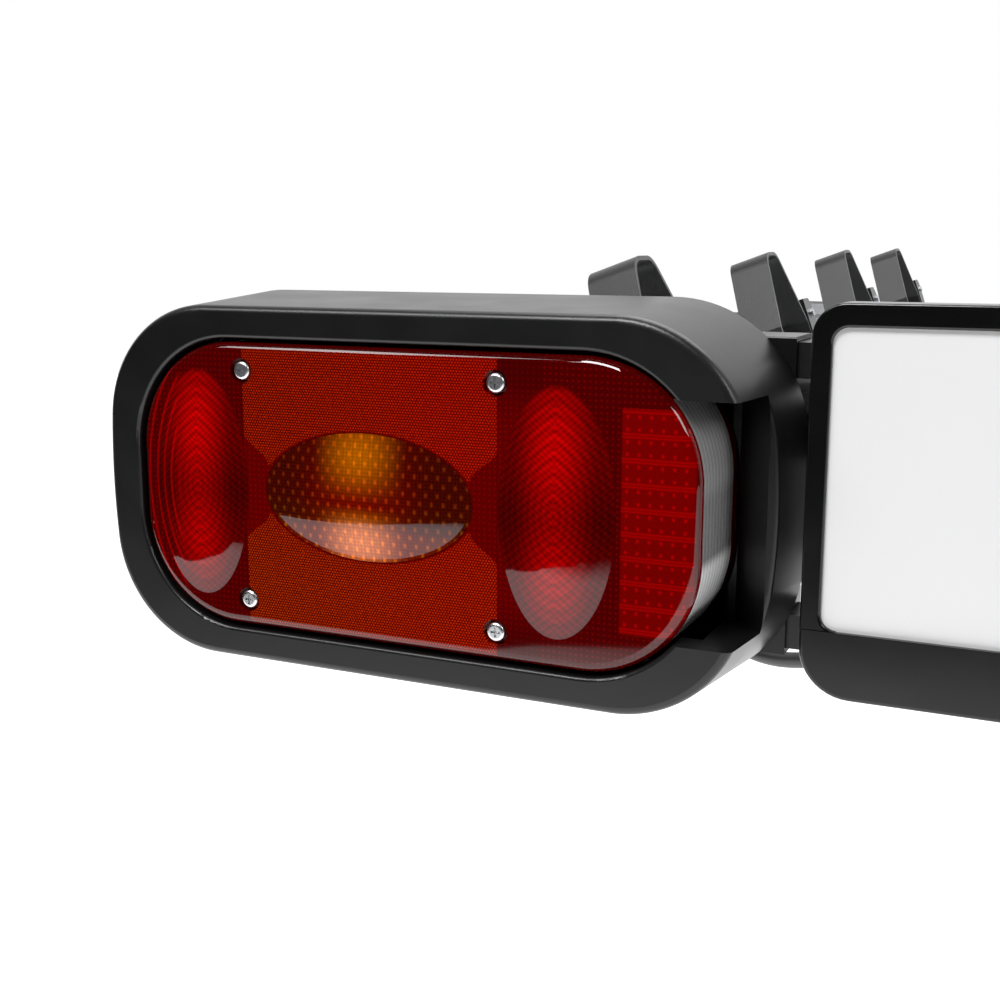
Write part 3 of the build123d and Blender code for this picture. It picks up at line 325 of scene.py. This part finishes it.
class Field:
    """A number that varies over a surface, built up from shader maths."""

    def __init__(self, tree, socket):
        self.tree = tree
        self.socket = socket

    def math(self, operation, *others):
        wires = {i: v.socket if isinstance(v, Field) else v for i, v in enumerate((self, *others))}
        return Field(self.tree, add_node(self.tree, "ShaderNodeMath", wires, operation=operation).outputs[0])

    def __add__(self, other):
        return self.math("ADD", other)

    def __sub__(self, other):
        return self.math("SUBTRACT", other)

    def __mul__(self, other):
        return self.math("MULTIPLY", other)

    def __truediv__(self, other):
        return self.math("DIVIDE", other)

    def __abs__(self):
        return self.math("ABSOLUTE")

    def least(self, other):
        return self.math("MINIMUM", other)

    def flip(self):
        return Field(self.tree, add_node(self.tree, "ShaderNodeMath", {0: 1.0, 1: self.socket},
                                         operation="SUBTRACT").outputs[0])

    def rise(self, low, high, bottom=0.0, top=1.0):
        """Bottom below low and top above high, with a smooth climb between."""
        node = add_node(self.tree, "ShaderNodeMapRange",
                        {"Value": self.socket, "From Min": low, "From Max": high,
                         "To Min": bottom, "To Max": top}, interpolation_type="SMOOTHSTEP")
        return Field(self.tree, node.outputs["Result"])

    def band(self, low, high, soft):
        """1 between low and high, falling to 0 over a soft edge."""
        return self.rise(low - soft, low) * self.rise(high, high + soft, 1.0, 0.0)

    def hump(self, centre, reach):
        """1 at the centre, falling smoothly to 0 at the reach on either side."""
        return abs(self - centre).rise(0.0, reach, 1.0, 0.0)

    def wave(self, pitch):
        """A triangle wave of that pitch: 0 at each multiple, 1 half-way between."""
        return self.math("PINGPONG", pitch / 2) / (pitch / 2)


# Places on the lens in millimetres from the lamp's centre, outboard negative
DOME_CENTRES = (-87.5, 64.4)
DOME_HALF_WIDTH = 22.5
DOME_HALF_HEIGHT = 45.5
INDICATOR_CENTRE = -12.4
INDICATOR_HALF_WIDTH = 44.2
INDICATOR_HALF_HEIGHT = 24.2
BULB_CENTRE = -14.5
REFLEX_BEAD_PITCH = 1.15


def length_of(a, b):
    """The length of the vector (a, b)."""
    return (a * a + b * b).math("SQRT")


def lens_place(tree):
    """Millimetres across from the lamp's centre (outboard is minus), up from it, and behind the face."""
    where = add_node(tree, "ShaderNodeTexCoord")
    axes = add_node(tree, "ShaderNodeSeparateXYZ", {0: where.outputs["Object"]})
    x, y, z = [Field(tree, axes.outputs[i]) * (1 / MM) for i in range(3)]
    return (abs(x) - LAMP_X) * -1.0, z - LAMP_Z, y - FACE_Y


def bead_rows(x, z, pitch):
    """Round beads set in a triangular lattice: 1 at a bead's middle, 0 between beads."""
    row = pitch * math.sqrt(3)
    near = length_of(x.wave(pitch).flip() * (pitch / 2), z.wave(row).flip() * (row / 2))
    far = length_of(x.wave(pitch) * (pitch / 2), z.wave(row) * (row / 2))
    return near.least(far).rise(pitch * 0.22, pitch * 0.50, 1.0, 0.0)


def dome_light(x, z, centre):
    """Light gathered by a dome: a bright upright streak, brightest above and below the bulb."""
    across = x - centre
    weave = ((z + abs(across) * 0.8).wave(3.0) * 0.7 + (z * 1.1 - abs(across) * 0.9).wave(2.3) * 0.5)
    streak = across.hump(0.0, 17.0) * 0.75 + 0.25
    glow = z.hump(27.0, 33.0) * 0.17 + z.hump(-24.0, 26.0) * 0.13 + z.hump(4.0, 60.0) * 0.10 + 0.04
    inside = length_of(across / DOME_HALF_WIDTH, z / DOME_HALF_HEIGHT)
    arcs = length_of(across * 2.0, z).wave(5.0) * 0.35 + 0.8
    return glow * streak * (weave * 1.1 + 0.65) * arcs, inside.rise(0.97, 1.01, 1.0, 0.0)


def polycarbonate_red():
    """Red polycarbonate over moulded prisms: a smooth clear skin, with the optics lying beneath it.

    The coat gives the unbroken outer gloss. The colour and the bump below it give the cube-corner
    reflex panels, the woven prisms of the domes and the barred field at the inner end. The colour also
    holds painted light: a bright upright streak and glow in each dome; and painted shade, darker towards
    the top and bottom of the grid strips around the reflex panels.
    """
    material, tree, shader = new_finish("polycarbonate_red", "#500000", 0.30, coat=1.0)
    shader.inputs["Specular IOR Level"].default_value = 0.0
    x, z, depth = lens_place(tree)
    ellipse = length_of((x - INDICATOR_CENTRE) / INDICATOR_HALF_WIDTH, z / INDICATOR_HALF_HEIGHT)

    # The barred field at the inner end: beads in rows, with a double bar under every second row
    beads = (x.wave(4.2).rise(0.55, 1.0) * z.wave(4.25).rise(0.5, 1.0)) * 0.16
    bars = z.wave(8.5).rise(0.72, 0.86) * z.wave(8.5).rise(0.90, 0.98, 1.0, 0.35) * 0.10
    barred = x.band(89.0, 114.0, 1.2) * z.band(-39.0, 38.0, 1.5)
    field = barred * (beads * 1.2 + bars * 1.2 + z.rise(-34.0, 20.0, 0.13, 0.14)) + barred.flip() * 0.055
    small = (x.wave(2.1) * z.wave(2.1)).rise(0.3, 0.9) * 0.08
    red = field + small * barred.flip()

    # Reflex panels above and below, with splayed corners towards the indicator
    inset = abs(z).rise(10.0, 21.0, 10.5, 0.0)
    panel = ((x - inset).rise(-66.6, -66.0) * (x + inset).rise(41.4, 42.0, 1.0, 0.0)
             * abs(z).rise(53.4, 54.2, 1.0, 0.0) * abs(z).rise(9.0, 10.0) * ellipse.rise(1.02, 1.04))
    corner_beads = bead_rows(x, z, REFLEX_BEAD_PITCH)
    facets = add_node(tree, "ShaderNodeTexNoise", {"Vector": lens_grid(tree, REFLEX_BEAD_PITCH),
                                                   "Scale": 1.0, "Detail": 0.0})
    sparkle = Field(tree, facets.outputs["Fac"]).rise(0.30, 0.75, 0.85, 1.2)
    strip = x.band(42.0, 58.0, 1.0) + x.band(-66.0, 41.0, 0.5) * panel.flip() * ellipse.rise(1.0, 1.02)
    shaded = abs(z).rise(30.0, 50.0, 1.0, 0.55)
    red = red * strip.least(1.0).flip() + strip.least(1.0) * shaded * (small * 0.9 + 0.085)
    points = corner_beads * corner_beads * sparkle
    red = red * panel.flip() + panel * (points * 0.26 + x.rise(-60.0, 40.0, 0.062, 0.094))
    green = panel * (points * (z.rise(-40.0, 10.0, 0.022, 0.012) * x.rise(-60.0, 40.0, 1.0, 0.6)) + 0.0003)

    # Domes over the bulbs on either side of the indicator, painted with the light they gather, and the arcs
    # that ring the outboard one
    for centre in DOME_CENTRES:
        light, mask = dome_light(x, z, centre)
        red = red * mask.flip() + light * mask
    rim_arcs = length_of(x + 75.0, z * 0.62).wave(4.0).rise(0.6, 1.0) * x.band(-116.0, -99.0, 4.0)
    red = red + rim_arcs * 0.16

    # Frame line where the optics meet the plain edge, and the plain side wall
    wall = depth.rise(1.5, 3.0)
    red = red * wall.flip() + wall * 0.11
    green = green * wall.flip()

    colour = add_node(tree, "ShaderNodeCombineColor", {"Red": red.socket, "Green": green.socket, "Blue": 0.0})
    tree.links.new(colour.outputs[0], shader.inputs["Base Color"])
    bump = add_node(tree, "ShaderNodeBump", {"Height": red.socket, "Strength": 0.6, "Distance": 0.5 * MM})
    tree.links.new(bump.outputs[0], shader.inputs["Normal"])
    return material


def clear_acrylic():
    """Clear acrylic drawn with upright ribs inside; painted light in its colour gives grey streaks along the
    ribs, a faint band higher up and a painted white patch of floor low down.
    """
    material, tree, shader = new_finish("clear_acrylic", "#a6a8aa", 0.16)
    shader.inputs["IOR"].default_value = 1.49
    shader.inputs["Transmission Weight"].default_value = 0.30
    _, z, depth = lens_place(tree)
    ribs = depth.wave(1.6) * 0.5 + depth.wave(3.7) * 0.5
    # Painted light: a faint band higher up and a bright patch of floor low down, streaked along the ribs
    tone = (z.band(14.0, 30.0, 8.0) * 0.10 + z.band(-30.0, -17.0, 5.0) * 0.75 + 0.33) * (ribs * 0.7 + 0.65)
    colour = add_node(tree, "ShaderNodeCombineColor", {"Red": tone.socket, "Green": tone.socket,
                                                       "Blue": tone.socket})
    tree.links.new(colour.outputs[0], shader.inputs["Base Color"])
    bump = add_node(tree, "ShaderNodeBump", {"Height": ribs.socket, "Strength": 0.5, "Distance": 0.2 * MM})
    tree.links.new(bump.outputs[0], shader.inputs["Normal"])
    return material


def lens_grid(tree, pitch):
    """The lens face cut into cells of that pitch, so that noise gives each cell one value."""
    where = add_node(tree, "ShaderNodeTexCoord")
    snapped = add_node(tree, "ShaderNodeVectorMath",
                       {0: where.outputs["Object"], 1: (pitch * MM, 1.0, pitch * MM)}, operation="SNAP")
    return add_node(tree, "ShaderNodeVectorMath", {0: snapped.outputs[0], 1: (731.0, 1.0, 919.0)},
                    operation="MULTIPLY").outputs[0]


def polycarbonate_amber():
    """Amber polycarbonate over pyramid prisms, seen through the red, with painted light: bright above and
    below the bulb, lighter across the middle and paler low down.
    """
    material, tree, shader = new_finish("polycarbonate_amber", "#6a2400", 0.30, coat=1.0)
    shader.inputs["Specular IOR Level"].default_value = 0.0
    x, z, _ = lens_place(tree)
    across = x - BULB_CENTRE
    # Painted light: bright patches above and below the bulb, streaked across by the prisms, and lighter
    # towards the middle
    painted_hot_spots = (across.hump(0.0, 21.0) * (z.hump(16.0, 19.0) * 0.68 + z.hump(-17.0, 15.0) * 1.25)
           * (across.wave(2.2) * 0.2 + 0.88))
    side = across.hump(0.0, 34.0)
    pyramids = ((x + z * 0.7).wave(4.6) * (x - z * 0.7).wave(4.6)).rise(0.28, 0.85)
    fine = (x.wave(1.4) * z.wave(1.4)).rise(0.2, 0.8)
    tone = pyramids * 0.9 + fine * 0.3 + 0.40
    glassy = fine * 0.30 + pyramids * 0.35 + 0.68
    # Painted light: the lower part lighter, also in the green and blue below
    low = z.rise(-15.0, -8.0, 0.13, 0.0)
    red = painted_hot_spots * 0.50 * glassy + (side * 0.10 + z.hump(0.0, 16.0) * side * 0.06 + low + 0.085) * tone
    green = painted_hot_spots * 0.16 * glassy + (z.rise(-14.0, 2.0, 0.018, 0.007) + low * 0.1) * tone * (pyramids + 0.4)
    blue = painted_hot_spots * z.rise(-14.0, -4.0, 0.035, 0.0)
    colour = add_node(tree, "ShaderNodeCombineColor",
                      {"Red": red.socket, "Green": green.socket, "Blue": blue.socket})
    tree.links.new(colour.outputs[0], shader.inputs["Base Color"])
    bump = add_node(tree, "ShaderNodeBump", {"Height": (pyramids + fine * 0.3).socket, "Strength": 0.6,
                                             "Distance": 0.3 * MM})
    tree.links.new(bump.outputs[0], shader.inputs["Normal"])
    return material


def webbing():
    """Woven polyester webbing: black, dull, with a twill of half-millimetre threads and a low sheen."""
    material, tree, shader = new_finish("webbing_weave", "#151515", 0.40)
    shader.inputs["Sheen Weight"].default_value = 0.15
    shader.inputs["Sheen Roughness"].default_value = 0.4
    where = add_node(tree, "ShaderNodeTexCoord")
    axes = add_node(tree, "ShaderNodeSeparateXYZ", {0: where.outputs["Object"]})
    x, y, z = [Field(tree, axes.outputs[i]) * (1 / MM) for i in range(3)]
    threads = (abs(x) + y + z).wave(1.1) * 0.5 + (abs(x) - z * 0.4).wave(0.9) * 0.5
    bump = add_node(tree, "ShaderNodeBump", {"Height": threads.socket, "Strength": 0.5,
                                             "Distance": 0.12 * MM})
    tree.links.new(bump.outputs[0], shader.inputs["Normal"])
    return material


FINISHES = {
    "black_coat": powder_coat(),
    "black_plastic": abs_moulded(),
    "silver": anodised_aluminium(),
    "zinc": zinc_plate(),
    "gloss_black": abs_polished(),
    "white_plate": reflective_sheet(),
    "steel": chrome_plate(),
    "reflector": reflector_metal(),
    "bulb": bulb_glass(),
    "clear_lens": clear_acrylic(),
    "red_lens": polycarbonate_red(),
    "amber_lens": polycarbonate_amber(),
    "webbing": webbing(),
    "cable_jacket": cable_jacket(),
}
for part in frame["record"]["subparts"]:
    finish = FINISHES.get(part["material_slot"])
    node = frame["nodes"].get(part["node"])
    if finish is not None and node is not None:
        node.data.materials.clear()
        node.data.materials.append(finish)
for lead in leads:
    lead.data.materials.clear()
    lead.data.materials.append(FINISHES["cable_jacket"])


# ---------------------------------------------------------------- stitching on the straps

# Where a strap's foot stands on its tray, how far it leans, and how far the patch lies from tray and foot
STRAP_X = 351.5
STRAP_LEAN = 20.0
PATCH_BEHIND_TRAY = 35.45
PATCH_BELOW_TOP = 13


def stitch_patch(name, way, y, finish):
    """Rows of thread where the strap's tail is sewn back on its rear leg, crossed corner to corner."""
    lean = math.radians(STRAP_LEAN)
    foot = STRAP_X * way
    up = Vector((way * math.sin(lean), 0, math.cos(lean)))
    across = Vector((math.cos(lean), 0, -way * math.sin(lean)))
    middle = Vector((foot, y - PATCH_BEHIND_TRAY, TRAY_TOP)) - up * PATCH_BELOW_TOP
    rows = [[(-8, v) for v in range(-9, 10, 3)], [(8, v) for v in range(-9, 10, 3)],
            [(u, -9) for u in range(-6, 8, 3)], [(u, 9) for u in range(-6, 8, 3)],
            [(u * 0.8, u) for u in range(-6, 8, 3)], [(-u * 0.8, u) for u in range(-6, 8, 3)]]
    runs = [(0, 1), (0, 1), (1, 0), (1, 0), (0.62, 0.78), (-0.62, 0.78)]
    patch = bmesh.new()
    for row, (run_u, run_v) in zip(rows, runs):
        along = across * run_u + up * run_v
        for u, v in row:
            made = bmesh.ops.create_icosphere(patch, subdivisions=2, radius=1.0)
            centre = (middle + across * u + up * v) * MM
            for vertex in made["verts"]:
                lengthwise, out, wide = vertex.co.x * 1.1, vertex.co.y * 0.28, vertex.co.z * 0.32
                side_step = along.cross(Vector((0, 1, 0))) * wide
                vertex.co = centre + (along * lengthwise + Vector((0, out, 0)) + side_step) * MM
    mesh = bpy.data.meshes.new(name)
    patch.to_mesh(mesh)
    patch.free()
    mesh.shade_smooth()
    mesh.materials.append(finish)
    stitches = bpy.data.objects.new(name, mesh)
    bpy.context.scene.collection.objects.link(stitches)
    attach(stitches, "platform")


def sewing_thread():
    """Bonded polyester thread: grey, dull and slightly hairy."""
    material, tree, shader = new_finish("sewing_thread", "#5c5c5e", 0.60)
    grain(tree, shader, 0.25, 0.3, 0.05)
    return material


thread = sewing_thread()
for side, way in SIDES:
    for index, tray_y in enumerate(TRAY_YS, start=1):
        stitch_patch(f"strap_stitches_{index}_{side}", way, tray_y, thread)
